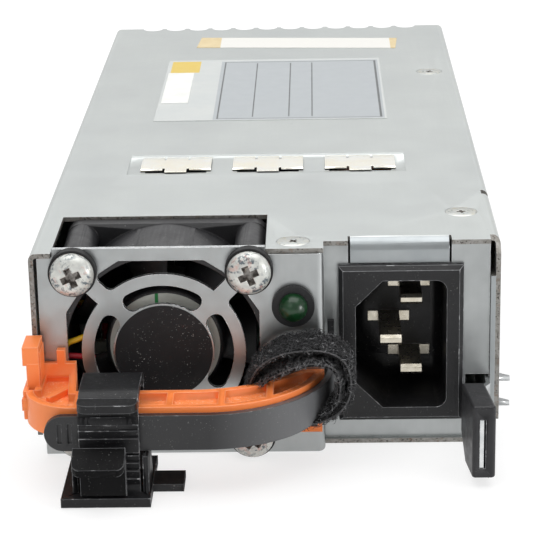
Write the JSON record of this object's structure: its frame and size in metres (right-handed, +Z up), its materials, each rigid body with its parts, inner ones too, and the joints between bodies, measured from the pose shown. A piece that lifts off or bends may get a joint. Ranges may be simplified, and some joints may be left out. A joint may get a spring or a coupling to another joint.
{
  "type": "hot swap server power supply",
  "caption": "Flat sheet-steel power module with a fan behind a finger guard, mains inlet, carrying handle, sprung side latch and a rear card edge.",
  "frame": {"origin": "centre of the casing's underside", "axes": "+Y from the service face with the fan and inlet towards the card edge, +Z up, +X to the latch side"},
  "size_m": [0.0893, 0.2215, 0.0409],
  "materials": {
    "steel": "rolled, satin",
    "bright_screw": "plated",
    "dark_screw": "plated, pan head",
    "spring_strip": "bright spring strip",
    "nickel": "nickel plated",
    "brass_sleeve": "sintered sleeve",
    "gold_plate": "gold plated",
    "sink_aluminium": "extruded",
    "capacitor_can": "sleeved can",
    "capacitor_sleeve": "shrink sleeve",
    "orange_plastic": "moulded",
    "black_plastic": "moulded",
    "black_nylon": "moulded nylon",
    "black_rubber": "moulded",
    "black_fabric": "hook-and-loop pile",
    "white_plastic": "moulded",
    "lamp_lens": "green dome",
    "black_film": "matt film",
    "label_film": "printed film, left bare",
    "paper_tape": "paper",
    "liner_film": "film",
    "circuit_board": "solder mask",
    "ferrite": "sintered",
    "tape_wrap": "polyester tape",
    "winding": "enamelled wire",
    "box_capacitor": "moulded box",
    "lead_jacket": "insulated leads",
    "mains_jacket": "insulated leads"
  },
  "bodies": {
    "casing": {"base_tray": "steel", "top_cover": "steel", "rear_panel": "steel", "front_panel": "steel", "cover_screws": "bright_screw", "contact_springs": "spring_strip", "fan_frame": "black_plastic", "fan_bearings": "brass_sleeve", "fan_stator": "winding", "guard_sticker": "black_film", "fan_screws": "dark_screw", "fan_grommets": "black_rubber", "led_bezel": "black_plastic", "led_lens": "lamp_lens", "inlet_body": "black_plastic", "inlet_blades": "nickel", "latch_root": "spring_strip", "handle": "orange_plastic", "strap": "black_nylon", "strap_anchor": "black_nylon", "hook_loop_tape": "black_fabric", "main_board": "circuit_board", "edge_contacts": "gold_plate", "standoffs": "steel", "insulating_liner": "liner_film", "bulk_capacitor": "capacitor_sleeve", "pfc_choke": "winding", "transformer_core": "ferrite", "transformer_coil": "tape_wrap", "primary_heatsink": "sink_aluminium", "secondary_heatsink": "sink_aluminium", "emi_choke": "winding", "x_capacitor": "box_capacitor", "output_capacitors": "capacitor_can", "control_card": "circuit_board", "fan_socket": "white_plastic", "fan_leads": "lead_jacket", "mains_leads": "mains_jacket", "rating_label": "label_film", "serial_sticker": "label_film", "tape_strip": "paper_tape"},
    "fan_impeller": {"fan_rotor": "black_plastic", "fan_shaft": "bright_screw", "fan_hub_label": "label_film"},
    "latch": {"latch_leaf": "spring_strip", "latch_cap": "black_plastic"},
    "clip": {"clip_base": "black_nylon"},
    "clip_jaw": {"clip_band": "black_nylon"},
    "clip_trigger": {"clip_lever": "black_nylon"}
  },
  "joints": [
    {"name": "fan_spin", "type": "hinge", "parent": "casing", "child": "fan_impeller", "pos_m": [-0.019, -0.083, 0.0205], "axis": [0, 1, 0], "continuous": true},
    {"name": "latch_press", "type": "hinge", "parent": "casing", "child": "latch", "pos_m": [0.0407, -0.059, 0.0084], "axis": [0, 0, -1], "range_deg": [0, 5.5], "stiffness_Nm_per_rad": 5, "springref_deg": -1.15},
    {"name": "clip_slide", "type": "slide", "parent": "casing", "child": "clip", "axis": [1, 0, 0], "range_m": [-0.0005, 0.0075]},
    {"name": "clip_jaw_open", "type": "hinge", "parent": "clip", "child": "clip_jaw", "pos_m": [-0.0277, -0.1, 0.0168], "axis": [-1, 0, 0], "range_deg": [0, 70]},
    {"name": "clip_lever_press", "type": "hinge", "parent": "clip", "child": "clip_trigger", "pos_m": [-0.0287, -0.1159, 0.0028], "axis": [1, 0, 0], "range_deg": [0, 12], "stiffness_Nm_per_rad": 0.03, "springref_deg": -2.86}
  ]
}
